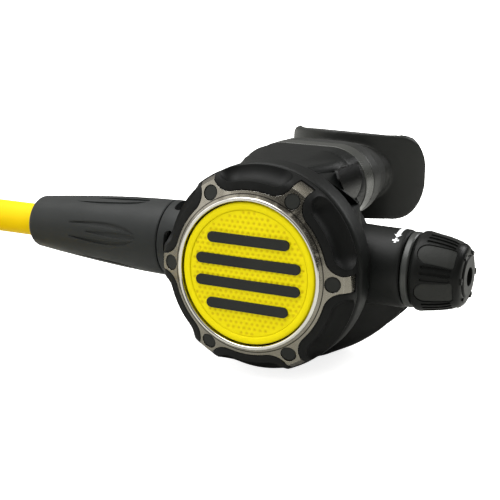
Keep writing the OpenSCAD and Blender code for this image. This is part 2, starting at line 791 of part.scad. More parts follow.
// Outline of a pad, round towards the arm and squarer towards the cap
pad_turn = 19.5;
pad_half = 3.6;
module pad_outline(g) {
    back = knob_start + 2.1 - g;
    front = knob_end - 2 + g;
    half = pad_half + g;
    corner = 1.3 + g;
    translate([back + half, 0]) circle(half);
    translate([back + half, -half]) square([front - corner - back - half, 2 * half]);
    translate([front - corner - 1, -half + corner]) square([1 + corner, 2 * (half - corner)]);
    for (s = [-1, 1]) translate([front - corner, s * (half - corner)]) circle(corner);
}

// Prisms that stand out from the barrel's axis over each pad
module pad_prisms(g) around_barrel(pad_count, pad_turn)
    translate([0, -knob_r - 2, 0]) rotate([-90, 0, 0]) linear_extrude(8) pad_outline(g);

// Prisms that stand out between the pads
module groove_prisms() around_barrel(pad_count, pad_turn + 180 / pad_count)
    for (a = [-8.5, 0, 8.5]) rotate([a, 0, 0])
        translate([(knob_start + knob_end) / 2 + 0.6, -knob_r - 2, 0]) rotate([-90, 0, 0]) linear_extrude(8)
            obround(knob_len - 7, 1.1);

module knob() color("#2b2d2f") difference() {
    union() {
        knob_solid();
        around_barrel(pad_count, 0) translate([knob_end - 1, -cap_r - 1.7, -1]) cube([1.45, 1.1, 2]);
    }
    difference() {
        pad_prisms(0);
        knob_solid(1);
    }
    difference() {
        groove_prisms();
        knob_solid(0.5);
    }
    along_x(knob_start - 1, knob_len - 2) circle(stem_r + fit);
    along_x(knob_end - 2, 3) circle(cap_r + fit);
}

module knob_pads() color("#7b7e80") intersection() {
    pad_prisms(-0.2);
    difference() {
        knob_solid(0.3);
        knob_solid(1 - fit);
    }
}

module knob_cap() color("#4a4c4e") difference() {
    revolve_x() polygon([
        [0, knob_end - 1.9],
        [cap_r, knob_end - 1.9],
        [cap_r, knob_end + 0.2],
        [cap_r - 0.5, knob_end + 0.6],
        [0, knob_end + 0.7]
    ]);
    along_x(knob_end - 1.2, 3) circle(3.2);
}

// Inlet and hose ------------------------------------------------------------

// Windows round the collar and leaves round the protector, turned up from the front
grip_count = 5;
grip_turn = 6;
collar_bore_r = sleeve_r - 2;
module inlet_collar() color("#55585b") difference() {
    revolve_x() polygon([
        [collar_bore_r, arm_left - 0.1],
        [sleeve_r - 0.1, arm_left - 0.1],
        [sleeve_r + 0.1, arm_left - 3],
        [sleeve_r + 0.1, inlet_end + 0.4],
        [sleeve_r - 0.3, inlet_end],
        [sleeve_r - 3.4, inlet_end],
        [sleeve_r - 3.4, inlet_end + 1.4],
        [collar_bore_r, inlet_end + 1.4]
    ]);
    around_barrel(grip_count, -grip_turn) translate([arm_left - 5.9, -sleeve_r + 3, 0]) rotate([90, 90, 0])
        linear_extrude(8) obround(9, 3.8);
}

nut_x = thread_left - 3;
module hose_nut() color("#c4c8cc") difference() {
    along_x(nut_x - 2.2, 12) circle(9.6, $fn = 6);
    along_x(nut_x, 20) circle(7.1 + shaft_gap);
    along_x(nut_x - 3, 20) circle(5.1 + shaft_gap);
}

module hose_stem() color("#d0d4d8") difference() {
    revolve_x() polygon([
        [0, thread_left + 6],
        [3.4, thread_left + 6],
        [3.5, thread_left + 5],
        [3.5, thread_left - 0.2],
        [6.6, thread_left - 0.2],
        [6.6, nut_x + 0.3],
        [5.1, nut_x + 0.3],
        [5.1, nut_x - 9],
        [6.6, nut_x - 9],
        [6.6, nut_x - 10.5],
        [3.1, nut_x - 10.5],
        [3.1, nut_x - 30],
        [2.6, nut_x - 31],
        [0, nut_x - 31]
    ]);
    along_x(nut_x - 40, 80) circle(1.8);
    revolve_x() translate([3.05, thread_left + 3]) circle(0.55);
}

module swivel_o_ring() color("black") o_ring_x(thread_left + 3, 3.05, 0.5);

hose_bore_r = 3.15;
hose_face = sleeve_end + 7;

module hose_end() color("#f2e500") along_x(hose_face, nut_x - 10.6 - hose_face)
    ring(hose_d / 2, hose_bore_r);

module hose_ferrule() color("#d0d4d8") revolve_x() polygon([
    [hose_d / 2 + fit, nut_x - 11],
    [hose_d / 2 + 1.4, nut_x - 11],
    [hose_d / 2 + 1.4, nut_x - 16],
    [hose_d / 2 + 0.9, nut_x - 17],
    [hose_d / 2 + 0.9, nut_x - 27],
    [hose_d / 2 + 1.4, nut_x - 28],
    [hose_d / 2 + 1.4, nut_x - 30],
    [hose_d / 2 + fit, nut_x - 30]
]);

// Outer face of the protector from the case to its far end, sunk by d
function sleeve_face(d = 0) = concat(
    [[sleeve_r - 0.25 - d, sleeve_start], [sleeve_r - d, sleeve_start - 0.4]],
    bend([sleeve_r - 0.1 - d, sleeve_start - 4], [sleeve_r - 0.6 - d, sleeve_start - sleeve_len * 0.42],
         [sleeve_tip_r - d, sleeve_end + 2], 7),
    bend([sleeve_tip_r - 0.1 - d, sleeve_end + 1.4], [sleeve_tip_r - 0.4 - d, sleeve_end],
         [sleeve_tip_r - 2 - d, sleeve_end], 4)
);

// A leaf of three slim grooves that run out towards the far end of the protector, seen from outside:
// length along the protector, then across
module leaf() {
    head = sleeve_start - 9;
    tip = sleeve_start - sleeve_len * 0.66;
    polygon(concat(
        bend([head, 0.5], [head - 4, 1.7], [tip + 8, 0.1], 5),
        bend([tip + 8, -0.1], [head - 4, -1.7], [head, -0.5], 5)
    ));
    for (s = [0, 1]) mirror([0, s]) polygon(concat(
        bend([head - 0.8, 1.5], [head - 8, 6], [tip, 2.7], 7),
        bend([tip, 2.5], [head - 9, 3.4], [head - 1, 1.2], 5)
    ));
}

module hose_protector() color("#5b5e61") difference() {
    revolve_x() polygon(concat(
        [[10.4, sleeve_start]],
        sleeve_face(),
        [[hose_d / 2 + fit, sleeve_end], [hose_d / 2 + fit, sleeve_end + 14]],
        [[hose_d / 2 + 1.5, sleeve_end + 16], [hose_d / 2 + 1.5, nut_x - 7], [10.4, nut_x - 5]]
    ));
    difference() {
        around_barrel(grip_count, -grip_turn) translate([0, -sleeve_r - 2, 0]) rotate([-90, 0, 0]) linear_extrude(9)
            leaf();
        revolve_x() polygon(concat([[0, sleeve_start + 1], [sleeve_r - 0.85, sleeve_start + 1]], sleeve_face(0.6),
                                   [[0, sleeve_end]]));
    }
}

// Route of the hose in plan: straight out of its protector, then onto the outside of the coil. The
// coil lies in two layers: the upper one winds in, the lower one winds out, and the hose drops from one
// to the other in the half turn where the coil is narrowest. A straight tail ends it.
run_straight = 65;
coil_pitch = hose_d + 2.2;
coil_layer = hose_d + 0.9;
coil_z = foot_z + hose_d / 2;
coil_middle = 90 + 180 * coil_turns;
coil_ease = 40;
coil_centre = [sleeve_end - run_straight, barrel_y - coil_radius(90)];
coil_steps = ceil(24 * coil_turns);
run_steps = 5;
tail_len = 36;
tail_rise = 48;

function coil_angle(i) = 90 + 360 * coil_turns * i / coil_steps;
function coil_radius(a) = coil_r + coil_pitch * (norm([a - coil_middle, coil_ease]) - coil_ease) / 360;
function coil_point(i) = let (a = coil_angle(i)) coil_centre + coil_radius(a) * [cos(a), sin(a)];
run_plan = concat(
    [for (x = [7, 0, -20, -40]) [sleeve_end + x, barrel_y]],
    [for (i = [0 : run_steps]) coil_point(i)]
);
coil_plan = [for (i = [run_steps + 1 : coil_steps]) coil_point(i)];
coil_dir = unit(coil_point(coil_steps + 0.1) - coil_point(coil_steps - 0.1));
tail_plan = [
    for (x = [(tail_len - hose_d) / 2, tail_len - hose_d, tail_len]) coil_point(coil_steps) + x * coil_dir
];
hose_plan = concat(run_plan, coil_plan, tail_plan);

// The hose sinks from the barrel's axis to the upper layer: ever more steeply over its first stretch,
// evenly, then ever less over its last one. Its tail rises by what the ferrule is wider.
sink_from = 22;
sink_ease = 48;
sink_len = run_straight + 76 - sink_from;
sink_depth = coil_z + coil_layer;
sink_slope = sink_depth / (sink_len - sink_ease);
end_ferrule_r = hose_d / 2 + 1.4;
hose_len = [
    for (i = 0, s = -7; i < len(hose_plan);
         s = s + (i + 1 < len(hose_plan) ? norm(hose_plan[i + 1] - hose_plan[i]) : 0), i = i + 1) s
];
function sunk(s) = let (t = min(max(s - sink_from, 0), sink_len))
    t < sink_ease ? sink_slope * t * t / sink_ease / 2
    : t < sink_len - sink_ease ? sink_slope * (t - sink_ease / 2)
    : sink_depth - sink_slope * (sink_len - t) * (sink_len - t) / sink_ease / 2;
function eased(t) = let (u = min(max(t, 0), 1)) u * u * (3 - 2 * u);
function dropped(i) = coil_layer * eased((coil_angle(i - 4) - coil_middle + 90) / 180);
function risen(s) = (end_ferrule_r - hose_d / 2)
    * eased((s + hose_d + tail_rise - hose_len[len(hose_len) - 1]) / tail_rise);
hose_path = [
    for (i = [0 : len(hose_plan) - 1])
        [hose_plan[i][0], hose_plan[i][1], sunk(hose_len[i]) - dropped(i) + risen(hose_len[i])]
];
join = len(run_plan) - 1;
coil_tip = hose_path[len(hose_path) - 1];

module hose_run() color("#f2e500") sweep(hose_path, hose_d / 2, 8, to = join);
module hose_coil() color("#f2e500") sweep(hose_path, hose_d / 2, 6, from = join);

// Places a piece drawn along +X on the far end of the hose
module on_hose_end() translate(coil_tip) rotate([0, 0, atan2(coil_dir[1], coil_dir[0])]) rotate([0, 90, 0])
    children();

module end_ferrule() color("#d0d4d8") on_hose_end() difference() {
    cylinder(r = end_ferrule_r, h = 16);
    translate([0, 0, 4]) difference() {
        cylinder(r = end_ferrule_r + 1, h = 9);
        cylinder(r = end_ferrule_r - 0.6, h = 9);
    }
}

thread_r = 4.76;
module end_fitting() color("#d8dcdf") on_hose_end() difference() {
    union() {
        translate([0, 0, 16]) cylinder(r = 5.6, h = 3);
        translate([0, 0, 19]) cylinder(r = end_ferrule_r, h = 6, $fn = 6);
        translate([0, 0, 25]) cylinder(r = thread_r - 0.9, h = 2.2);
        translate([0, 0, 27.2]) cylinder(r = thread_r, h = 8.8);
    }
    translate([0, 0, 17]) cylinder(r = 2, h = 30);
}

module end_o_ring() color("black") on_hose_end() translate([0, 0, 26.1]) rotate_extrude()
    translate([thread_r + 0.1, 0]) circle(0.9);

// Least distance between stretches of the hose, measured on its own points
coil_gap = min([
    for (i = [0 : len(hose_path) - 1]) for (j = [i + 12 : 1 : len(hose_path) - 1])
        norm(hose_path[i] - hose_path[j])
]) - hose_d;
echo(coil_gap = coil_gap);

place() housing();
place() front_cover();
place() cover_bezel();
place() bezel_plugs();
place() purge_button();
place() button_bars();
place() spring_cage();
place() purge_spring();
place() slip_ring();
place() diaphragm();
place() diaphragm_plate();
place() valve_barrel();
place() barrel_nut();
place() orifice();
place() orifice_o_ring();
place() poppet();
place() poppet_seat();
place() poppet_spring();
place() spring_pad();
place() demand_lever();
place() lever_pin();
place() adjust_stem();
place() stem_o_ring();
place() arm_collar();
place() knob();
place() knob_pads();
place() knob_cap();
place() inlet_collar();
place() hose_nut();
place() hose_stem();
place() swivel_o_ring();
place() hose_end();
place() hose_ferrule();
place() hose_protector();
place() hose_run();
place() hose_coil();
place() end_ferrule();
place() end_fitting();
place() end_o_ring();
place() exhaust_valve();
place() exhaust_tee();
place() mouthpiece();
place() mouthpiece_clamp();
place() side_plate();
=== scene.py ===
import json
import math

import bmesh
import bpy
from mathutils import Matrix, Vector


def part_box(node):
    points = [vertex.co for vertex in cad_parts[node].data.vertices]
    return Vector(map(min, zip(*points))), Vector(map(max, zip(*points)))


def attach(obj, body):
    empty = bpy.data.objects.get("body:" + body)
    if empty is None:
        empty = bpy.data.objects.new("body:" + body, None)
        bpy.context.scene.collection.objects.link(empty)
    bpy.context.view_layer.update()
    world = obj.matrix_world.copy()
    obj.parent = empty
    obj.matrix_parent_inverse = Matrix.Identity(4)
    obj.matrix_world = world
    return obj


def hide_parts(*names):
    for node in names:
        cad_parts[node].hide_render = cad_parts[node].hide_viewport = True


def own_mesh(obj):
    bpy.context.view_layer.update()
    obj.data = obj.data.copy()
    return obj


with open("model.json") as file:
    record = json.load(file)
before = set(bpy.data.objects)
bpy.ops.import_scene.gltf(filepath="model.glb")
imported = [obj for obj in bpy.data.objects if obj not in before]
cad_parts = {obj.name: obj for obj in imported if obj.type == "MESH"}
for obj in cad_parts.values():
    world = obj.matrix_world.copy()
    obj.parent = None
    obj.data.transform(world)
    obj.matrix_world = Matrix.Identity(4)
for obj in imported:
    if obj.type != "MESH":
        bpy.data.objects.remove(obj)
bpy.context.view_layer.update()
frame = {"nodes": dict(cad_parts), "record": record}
nodes = frame["nodes"]
mm = 0.001

# Places are written in millimetres from the middle of the circle of bezel plugs: x towards the
# knob, y back towards the mouthpiece, z up. The valve barrel lies at barrelY.
plugsToSlipRing = 15.25
barrelY = 33.0
slipLow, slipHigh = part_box("slip_ring")
plugCentre = Vector(((slipLow.x + slipHigh.x) / 2, slipLow.y - plugsToSlipRing * mm,
                     (slipLow.z + slipHigh.z) / 2))


def at(x, y, z):
    return plugCentre + Vector((x, y, z)) * mm


# ---- camera, floor and light

camera = {
    "azimuth": 25.86, "elevation": 13.64, "roll": 1.04, "place": (168.39, -347.24, 101.68),
    "lens": 85.96, "sensor": 36, "clipFrom": 0.01, "clipTo": 60,
}
cameraData = bpy.data.cameras.new("camera")
cameraData.lens = camera["lens"]
cameraData.sensor_width = camera["sensor"]
cameraData.clip_start = camera["clipFrom"]
cameraData.clip_end = camera["clipTo"]
cameraObject = bpy.data.objects.new("camera", cameraData)
bpy.context.scene.collection.objects.link(cameraObject)
cameraObject.matrix_world = (
    Matrix.Translation(at(*camera["place"]))
    @ Matrix.Rotation(math.radians(camera["azimuth"]), 4, "Z")
    @ Matrix.Rotation(math.radians(90 - camera["elevation"]), 4, "X")
    @ Matrix.Rotation(math.radians(camera["roll"]), 4, "Z")
)
bpy.context.scene.camera = cameraObject
print("camera placed")


def linear(hexColour):
    # sRGB hex as written, turned to the linear values that Cycles works in
    parts = [int(hexColour[i:i + 2], 16) / 255 for i in (0, 2, 4)]
    return [c / 12.92 if c <= 0.04045 else ((c + 0.055) / 1.055) ** 2.4 for c in parts] + [1.0]


def addNode(tree, kind, sockets=None, links=None, **settings):
    node = tree.nodes.new("ShaderNode" + kind)
    for name, value in settings.items():
        setattr(node, name, value)
    for name, value in (sockets or {}).items():
        node.inputs[name].default_value = value
    for name, source in (links or {}).items():
        tree.links.new(source, node.inputs[name])
    return node


def ramp(tree, source, start, end, **settings):
    # Carries the source's values from the pair start to the pair end
    ends = {"From Min": start[0], "From Max": start[1], "To Min": end[0], "To Max": end[1]}
    return addNode(tree, "MapRange", ends, {"Value": source}, **settings).outputs["Result"]


studio = {
    "floorColour": "f2f2f0", "floorMirrored": "d0d0ca", "floorGlow": 0.8,
    "floorHalf": 12.0, "floorBelow": 0.0002,  # metres
    # The ramps run over the dot product of a ray with lightFrom or darkFrom
    "lightFrom": (-0.5, -0.45, 0.75), "lightFades": (-0.35, 0.95),
    "fillColour": "fbfbfa", "fill": (0.36, 1.16),
    "mirrorColour": "fbf9f3", "mirror": (0.03, 0.95),
    "darkFrom": (0.08, -0.97, 0.2), "darkFades": (0.8, 0.97), "dark": (1.0, 0.1),
    "lamps": [  # name, place in m, aim in m, size in m, watts
        ("topSoftbox", (-0.25, -0.15, 0.95), (0.0, 0.0, 0.03), 0.8, 9.0),
        ("leftSoftbox", (-0.85, -0.55, 0.42), (0.0, 0.0, 0.04), 0.6, 1.2),
        ("backSoftbox", (0.55, 0.65, 0.6), (0.03, 0.0, 0.04), 0.4, 3.5),
    ],
}
white = (1, 1, 1, 1)


def makeWorld():
    # The room is lit from above and from the left, and is dark on the right. What the part mirrors
    # has its own strength, and a dark patch behind the camera.
    world = bpy.data.worlds.new("studioRoom")
    bpy.context.scene.world = world
    world.use_nodes = True
    tree = world.node_tree
    tree.nodes.clear()
    path = addNode(tree, "LightPath")
    direction = addNode(tree, "TexCoord").outputs["Generated"]

    def towards(aim):
        return addNode(tree, "VectorMath", {1: Vector(aim).normalized()}, {0: direction},
                       operation="DOT_PRODUCT").outputs["Value"]

    def fades(aim, start, end):
        return ramp(tree, towards(aim), start, end, interpolation_type="SMOOTHSTEP")

    room = fades(studio["lightFrom"], studio["lightFades"], studio["fill"])
    mirroredRoom = fades(studio["lightFrom"], studio["lightFades"], studio["mirror"])
    patch = fades(studio["darkFrom"], studio["darkFades"], studio["dark"])
    mirrored = addNode(tree, "Math", None, {0: mirroredRoom, 1: patch}, operation="MULTIPLY")
    shiny = addNode(tree, "Background", {"Color": linear(studio["mirrorColour"])},
                    {"Strength": mirrored.outputs[0]})
    fill = addNode(tree, "Background", {"Color": linear(studio["fillColour"])},
                   {"Strength": room})
    seen = addNode(tree, "Background", {"Color": white, "Strength": 1.0})
    lit = addNode(tree, "MixShader", None, {0: path.outputs["Is Glossy Ray"],
                                            1: fill.outputs[0], 2: shiny.outputs[0]})
    shown = addNode(tree, "MixShader", None, {0: path.outputs["Is Camera Ray"],
                                              1: lit.outputs[0], 2: seen.outputs[0]})
    addNode(tree, "OutputWorld", None, {"Surface": shown.outputs[0]})


def makeFloor():
    # Paper that glows a little for the camera only, so that it stays white under the part
    mesh = bpy.data.meshes.new("floor")
    shape = bmesh.new()
    bmesh.ops.create_grid(shape, x_segments=2, y_segments=2, size=studio["floorHalf"])
    bmesh.ops.translate(shape, verts=shape.verts, vec=(0, 0, -studio["floorBelow"]))
    shape.to_mesh(mesh)
    shape.free()
    floor = bpy.data.objects.new("floor", mesh)
    bpy.context.scene.collection.objects.link(floor)
    material = bpy.data.materials.new("paperSweep")
    material.use_nodes = True
    tree = material.node_tree
    tree.nodes.clear()
    path = addNode(tree, "LightPath")
    paper = addNode(tree, "BsdfDiffuse", {"Color": linear(studio["floorColour"])})
    mirrored = addNode(tree, "BsdfDiffuse", {"Color": linear(studio["floorMirrored"])})
    glow = addNode(tree, "Emission", {"Color": white, "Strength": studio["floorGlow"]})
    lit = addNode(tree, "AddShader", None, {0: paper.outputs[0], 1: glow.outputs[0]})
    shown = addNode(tree, "MixShader", None, {0: path.outputs["Is Camera Ray"],
                                              1: mirrored.outputs[0], 2: lit.outputs[0]})
    addNode(tree, "OutputMaterial", None, {"Surface": shown.outputs[0]})
    mesh.materials.append(material)


def makeLamps():
    for name, place, aim, size, watts in studio["lamps"]:
        data = bpy.data.lights.new(name, "AREA")
        data.shape = "SQUARE"
        data.size = size
        data.energy = watts
        lamp = bpy.data.objects.new(name, data)
        bpy.context.scene.collection.objects.link(lamp)
        lamp.location = place
        lamp.rotation_euler = (Vector(aim) - Vector(place)).to_track_quat("-Z", "Y").to_euler()


bpy.context.scene.view_settings.view_transform = "Standard"
makeWorld()
makeFloor()
makeLamps()
print("floor and lamps placed")

# ---- finishes

# Lengths are in millimetres. Noise values lie mostly between the two of noiseSpan.
noiseSpan = (0.3, 0.7)
mouldCloud = 14.0
mouldRoughSpread = 0.05
metalCloud = 12.0
metalRoughSpread = (0.75, 1.3)
# Painted shade of a groove on the bezel: its colour, and the distances in mm from the line's middle
# where it starts to fade and where it is gone
grooveShade = {"colour": "2b2926", "edge": (0.08, 0.26)}


def startMaterial(name):
    material = bpy.data.materials.new(name)
    material.use_nodes = True
    material.node_tree.nodes.clear()
    tree = material.node_tree
    return material, tree, addNode(tree, "TexCoord").outputs["Object"]


def noise(tree, coords, size, **sockets):
    sockets = {name.capitalize(): value for name, value in sockets.items()}
    return addNode(tree, "TexNoise", {"Scale": 1 / (size * mm), **sockets},
                   {"Vector": coords}).outputs["Fac"]


def mixColours(tree, share, first, second):
    # Each colour is a hex or a socket. Inputs 6 and 7 and output 2 are those for colours.
    sockets, links = {}, {0: share}
    for index, colour in ((6, first), (7, second)):
        if isinstance(colour, str):
            sockets[index] = linear(colour)
        else:
            links[index] = colour
    return addNode(tree, "Mix", sockets, links, data_type="RGBA").outputs[2]


def finishSurface(tree, sockets, tone, gloss, relief, depth):
    bump = addNode(tree, "Bump", {"Strength": 1.0, "Distance": depth * mm}, {"Height": relief})
    shader = addNode(tree, "BsdfPrincipled", sockets, {"Base Color": tone, "Roughness": gloss,
                                                       "Normal": bump.outputs["Normal"]})
    addNode(tree, "OutputMaterial", None, {"Surface": shader.outputs[0]})


def mouldedFinish(name, finish):
    # Moulded plastic or rubber: two close shades in soft clouds, a fine grain and an uneven gloss
    material, tree, coords = startMaterial(name)
    clouds = noise(tree, coords, mouldCloud, detail=3.0, roughness=0.55)
    tone = mixColours(tree, clouds, finish["colour"], finish["shade"])
    # painted shade: the deeper a point lies in a pit, the darker its colour
    if "pitColour" in finish:
        pits = addNode(tree, "Attribute", attribute_name="pit").outputs["Fac"]
        tone = mixColours(tree, pits, tone, finish["pitColour"])
    grain = noise(tree, coords, finish["grainMm"], detail=2.0, roughness=0.6)
    rough = finish["rough"]
    gloss = ramp(tree, clouds, noiseSpan, (rough - mouldRoughSpread, rough + mouldRoughSpread))
    sockets = {"IOR": finish.get("ior", 1.5), "Specular IOR Level": finish.get("specular", 0.3),
               "Sheen Weight": finish.get("sheen", 0.0), "Sheen Roughness": 0.4}
    finishSurface(tree, sockets, tone, gloss, grain, finish["grainDepthMm"])
    return material


def metalFinish(name, finish):
    # Metal with fine polishing marks that vary its gloss
    material, tree, coords = startMaterial(name)
    marks = noise(tree, coords, finish["markMm"], detail=3.0, roughness=0.65)
    clouds = noise(tree, coords, metalCloud, detail=2.0)
    tone = mixColours(tree, clouds, finish["colour"], finish["shade"])
    if "grooveRadius" in finish:
        # painted shade: a thin dark line in a circle round the button's axis, standing in for the
        # shade in a groove
        middle = addNode(tree, "VectorMath", {1: plugCentre}, {0: coords}, operation="SUBTRACT")
        flat = addNode(tree, "VectorMath", {1: (1, 0, 1)}, {0: middle.outputs["Vector"]},
                       operation="MULTIPLY")
        reach = addNode(tree, "VectorMath", None, {0: flat.outputs["Vector"]},
                        operation="LENGTH")
        off = addNode(tree, "Math", {1: finish["grooveRadius"] * mm},
                      {0: reach.outputs["Value"]}, operation="SUBTRACT")
        near = addNode(tree, "Math", None, {0: off.outputs[0]}, operation="ABSOLUTE")
        edge = [width * mm for width in grooveShade["edge"]]
        line = ramp(tree, near.outputs[0], edge, (1.0, 0.0))
        tone = mixColours(tree, line, tone, grooveShade["colour"])
    gloss = ramp(tree, marks, noiseSpan, [finish["rough"] * part for part in metalRoughSpread])
    finishSurface(tree, {"Metallic": 1.0}, tone, gloss, marks, finish["depthMm"])
    return material


# Colours are the finish's own under plain light. Grain is the mould's spark-eroded texture, drawn a
# little coarser than the real 0.05 to 0.1 mm so that it shows.
yellow = {"colour": "e6d700", "shade": "e0cf00", "grainMm": 0.4, "grainDepthMm": 0.008,
          "rough": 0.55, "specular": 0.12}
mouldings = {
    # soft-touch elastomer over the front: dead matt
    "softTouchElastomer": {"colour": "101110", "shade": "0c0d0d", "grainMm": 0.3,
                           "grainDepthMm": 0.012, "rough": 0.5, "specular": 0.14},
    # glass-filled nylon case: a touch smoother and darker than the cover
    "filledNylon": {"colour": "0f1110", "shade": "0b0d0c", "grainMm": 0.35,
                    "grainDepthMm": 0.014, "rough": 0.48, "specular": 0.2},
    # pigmented urethane button: saturated, with a waxy, even gloss
    "yellowUrethane": yellow,
    # the same, with painted shade darkening its moulded pits
    "pittedUrethane": {**yellow, "pitColour": "cbb200"},
    # pad-printed ink: thin, opaque and slightly rough
    "padPrintWhite": {"colour": "eef0f0", "shade": "e2e5e6", "grainMm": 0.3,
                      "grainDepthMm": 0.004, "rough": 0.5},
    # thermoplastic jacket of the hose, extruded smooth
    "yellowHoseJacket": {"colour": "e8c900", "shade": "e2c200", "grainMm": 0.5,
                         "grainDepthMm": 0.01, "rough": 0.5, "specular": 0.12},
    # moulded rubber of the button's bars and the bezel's plugs
    "gripRubber": {"colour": "1b1d1a", "shade": "171916", "grainMm": 0.3,
                   "grainDepthMm": 0.015, "rough": 0.62},
    # nitrile rubber of the hose protector: dark grey, matt
    "protectorRubber": {"colour": "1c1f1f", "shade": "171a1a", "grainMm": 0.35,
                        "grainDepthMm": 0.014, "rough": 0.5, "sheen": 0.04},
    # liquid silicone mouthpiece: smooth, with a soft sheen along its edges
    "blackSilicone": {"colour": "222321", "shade": "1d1e1c", "grainMm": 0.6,
                      "grainDepthMm": 0.01, "rough": 0.42, "sheen": 0.04, "specular": 0.36,
                      "ior": 1.42},
    "teeRubber": {"colour": "121312", "shade": "0f100f", "grainMm": 0.4,
                  "grainDepthMm": 0.012, "rough": 0.5},
    # acetal collar beside the knob: slightly shiny dark grey
    "greyAcetal": {"colour": "323432", "shade": "2b2d2b", "grainMm": 0.3,
                   "grainDepthMm": 0.006, "rough": 0.34, "specular": 0.5},
    "knobNylon": {"colour": "111211", "shade": "0e0f0e", "grainMm": 0.3,
                  "grainDepthMm": 0.01, "rough": 0.36, "specular": 0.13},
    # thermoplastic rubber pads with a coarser, leathery texture
    "padRubber": {"colour": "292a28", "shade": "1d1e1c", "grainMm": 0.8,
                  "grainDepthMm": 0.07, "rough": 0.5, "specular": 0.2},
    "clampPolymer": {"colour": "434441", "shade": "3b3c39", "grainMm": 0.3,
                     "grainDepthMm": 0.006, "rough": 0.28, "specular": 0.45},
    "panelGloss": {"colour": "0d0e0d", "shade": "0a0b0a", "grainMm": 0.5,
                   "grainDepthMm": 0.004, "rough": 0.3, "specular": 0.16},
    "innerNylon": {"colour": "3a3b3c", "shade": "323334", "grainMm": 0.4,
                   "grainDepthMm": 0.01, "rough": 0.5},
    "whiteAcetal": {"colour": "e6e5df", "shade": "dad9d3", "grainMm": 0.4,
                    "grainDepthMm": 0.006, "rough": 0.35},
    "clearSilicone": {"colour": "8d9294", "shade": "82878a", "grainMm": 0.6,
                      "grainDepthMm": 0.006, "rough": 0.35, "ior": 1.42},
    "nitrileRing": {"colour": "1a1a1a", "shade": "151515", "grainMm": 0.3,
                    "grainDepthMm": 0.004, "rough": 0.35},
}
metals = {
    # pressed stainless sheet, glass-bead satin, and its polished edges
    # its satin face has a thin line of painted shade in a circle round the button
    "satinStainless": {"colour": "8a867c", "shade": "7d7970", "markMm": 0.35, "rough": 0.24,
                       "depthMm": 0.0014, "grooveRadius": 27.15},
    "polishedEdge": {"colour": "d6d4cf", "shade": "cbc9c4", "markMm": 0.4, "rough": 0.12,
                     "depthMm": 0.0005},
    "drawnSteel": {"colour": "b8b7b3", "shade": "a9a8a4", "markMm": 0.3, "rough": 0.3,
                   "depthMm": 0.002},
    "chromedBrass": {"colour": "cfcfcc", "shade": "c4c4c1", "markMm": 0.5, "rough": 0.12,
                     "depthMm": 0.002},
    "turnedBrass": {"colour": "c9a860", "shade": "b8974f", "markMm": 0.3, "rough": 0.25,
                    "depthMm": 0.002},
}
finishes = {name: mouldedFinish(name, finish) for name, finish in mouldings.items()}
finishes.update({name: metalFinish(name, finish) for name, finish in metals.items()})

nodeFinish = {
    "housing": "filledNylon", "front_cover": "softTouchElastomer",
    "cover_bezel": "satinStainless", "bezel_plugs": "gripRubber",
    "purge_button": "yellowUrethane", "button_bars": "gripRubber",
    "spring_cage": "innerNylon", "purge_spring": "drawnSteel", "slip_ring": "whiteAcetal",
    "diaphragm": "clearSilicone", "diaphragm_plate": "drawnSteel",
    "valve_barrel": "chromedBrass", "barrel_nut": "drawnSteel", "orifice": "turnedBrass",
    "orifice_o_ring": "nitrileRing", "poppet": "whiteAcetal", "poppet_seat": "nitrileRing",
    "poppet_spring": "drawnSteel", "spring_pad": "drawnSteel", "demand_lever": "drawnSteel",
    "lever_pin": "drawnSteel", "adjust_stem": "drawnSteel", "stem_o_ring": "nitrileRing",
    "arm_collar": "greyAcetal", "knob": "knobNylon", "knob_pads": "padRubber",
    "knob_cap": "knobNylon", "inlet_collar": "protectorRubber", "hose_nut": "chromedBrass",
    "hose_stem": "chromedBrass", "swivel_o_ring": "nitrileRing",
    "hose_end": "yellowHoseJacket", "hose_ferrule": "drawnSteel",
    "hose_protector": "protectorRubber", "hose_run": "yellowHoseJacket",
    "hose_coil": "yellowHoseJacket", "end_ferrule": "drawnSteel",
    "end_fitting": "chromedBrass", "end_o_ring": "nitrileRing",
    "exhaust_valve": "clearSilicone", "exhaust_tee": "teeRubber",
    "mouthpiece": "blackSilicone", "mouthpiece_clamp": "clampPolymer",
    "side_plate": "panelGloss",
}
for nodeName, finishName in nodeFinish.items():
    mesh = nodes[nodeName].data
    mesh.materials.clear()
    mesh.materials.append(finishes[finishName])
print("finishes made")

# ---- how a piece is dressed

behaviour = frame["record"]["behaviour"]
bodyOf = {name: body for body, names in behaviour["bodies"].items() for name in names}

# Points closer than mergeMm are one, and faces within the flat angle are one face, in degrees
mergeMm = 0.002
roundedFlat = 0.4
softFlat = 0.1
# Edges sharper than this are bevelled and shaded as edges, in degrees
edgeAngle = 32
springEdgeAngle = 50
# Each pass inwards is followed by one outwards, so that thin walls keep their thickness
relaxPasses = (0.5, -0.52)


def newPiece(name, mesh):
    piece = bpy.data.objects.new(name, mesh)
    bpy.context.scene.collection.objects.link(piece)
    return piece


def applyModifiers(piece):
    # Bakes the live modifiers into the mesh, so that what comes after works on the final shape
    graph = bpy.context.evaluated_depsgraph_get()
    mesh = bpy.data.meshes.new_from_object(piece.evaluated_get(graph))
    piece.modifiers.clear()
    piece.data = mesh
    return mesh


def shadeSmooth(mesh):
    mesh.polygons.foreach_set("use_smooth", [True] * len(mesh.polygons))


def shadeByAngle(mesh, degrees):
    shadeSmooth(mesh)
    mesh.set_sharp_from_angle(angle=math.radians(degrees))


def mergedCopy(nodeName, pieceName, flatAngle):
    mesh = bpy.data.meshes.new(pieceName)
    shape = bmesh.new()
    shape.from_mesh(nodes[nodeName].data)
    bmesh.ops.remove_doubles(shape, verts=shape.verts, dist=mergeMm * mm)
    bmesh.ops.dissolve_limit(shape, angle_limit=math.radians(flatAngle), verts=shape.verts,
                             edges=shape.edges, delimit={"NORMAL"})
    shape.to_mesh(mesh)
    shape.free()
    return newPiece(pieceName, mesh)


def standFor(piece, nodeName):
    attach(piece, bodyOf[nodeName])
    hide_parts(nodeName)


